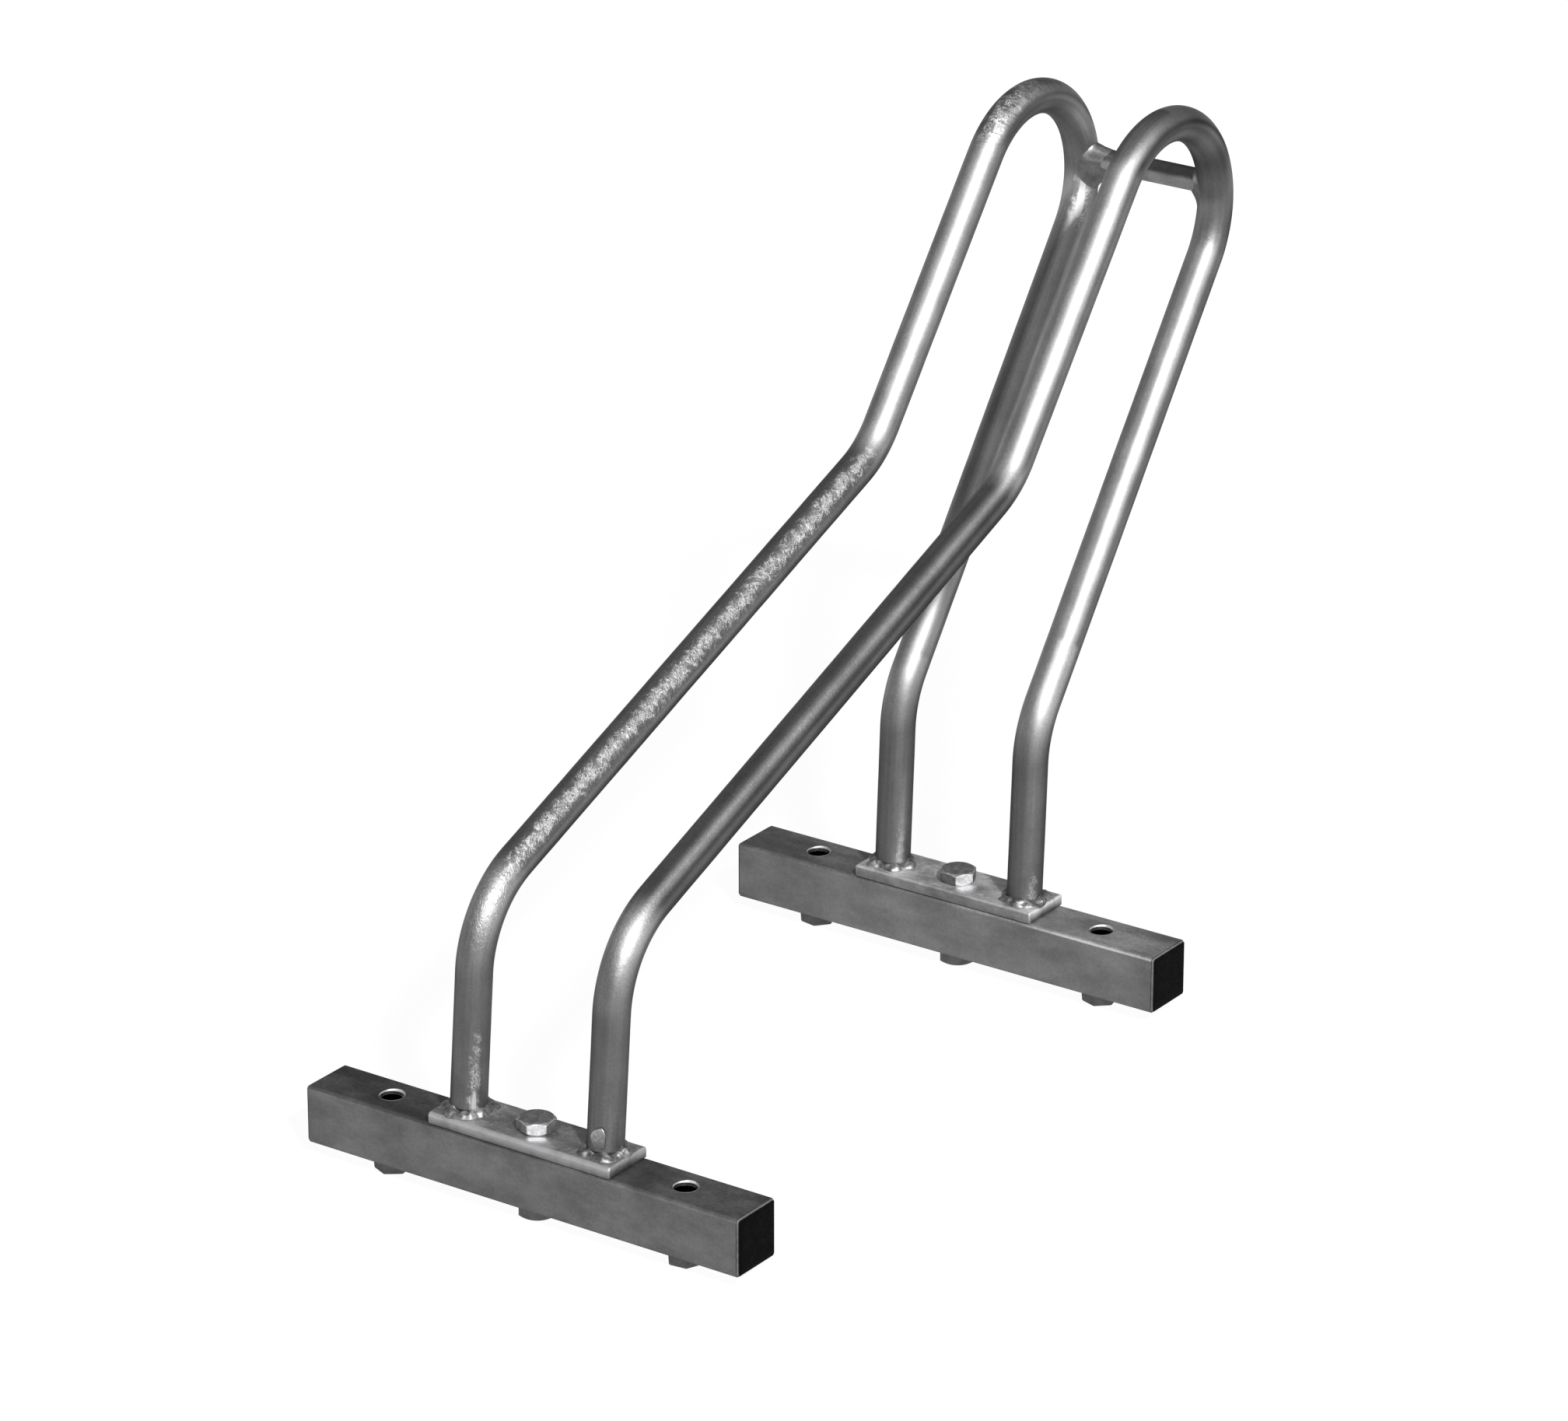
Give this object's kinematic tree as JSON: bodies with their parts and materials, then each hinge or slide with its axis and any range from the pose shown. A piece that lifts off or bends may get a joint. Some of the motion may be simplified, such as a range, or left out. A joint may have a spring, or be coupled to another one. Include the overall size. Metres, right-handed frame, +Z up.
{
  "type": "bicycle floor stand",
  "caption": "Floor bike stand: bent tube hoops hold a wheel upright between square-tube base bars, bolted on through welded plates, with drilled feet for ground bolts.",
  "frame": {"origin": "on the floor, at the centre of the rectangle of ground-bolt holes", "axes": "+X along the base bars, +Y from the low end of the hoops to the tall end, where the wheel's front goes, +Z up"},
  "size_m": [0.2524, 0.5465, 0.428],
  "materials": {
    "hoop_tube": "hot-dip galvanised, mottled, with soft streaks of light",
    "bar_tube": "galvanised square tube, duller than the hoops",
    "plate_steel": "galvanised flat bar with brushed edges",
    "weld_bead": "lumpy galvanised weld",
    "fastener_steel": "bright zinc-plated, worn at the corners",
    "foot_steel": "galvanised, dull, scuffed underneath",
    "plug_plastic": "black moulded plastic, slightly glossy"
  },
  "bodies": {
    "root": {"front_base_bar": "bar_tube", "rear_base_bar": "bar_tube", "front_left_end_plug": "plug_plastic", "front_left_foot": "foot_steel", "front_left_leg_weld": "weld_bead", "front_right_end_plug": "plug_plastic", "front_right_foot": "foot_steel", "front_right_leg_weld": "weld_bead", "front_plate": "plate_steel", "front_bolt": "fastener_steel", "front_nut": "foot_steel", "rear_left_end_plug": "plug_plastic", "rear_left_foot": "foot_steel", "rear_left_leg_weld": "weld_bead", "rear_right_end_plug": "plug_plastic", "rear_right_foot": "foot_steel", "rear_right_leg_weld": "weld_bead", "rear_plate": "plate_steel", "rear_bolt": "fastener_steel", "rear_nut": "foot_steel", "left_hoop": "hoop_tube", "right_hoop": "hoop_tube", "cross_link": "hoop_tube", "link_left_weld": "weld_bead", "link_right_weld": "weld_bead"}
  },
  "joints": []
}
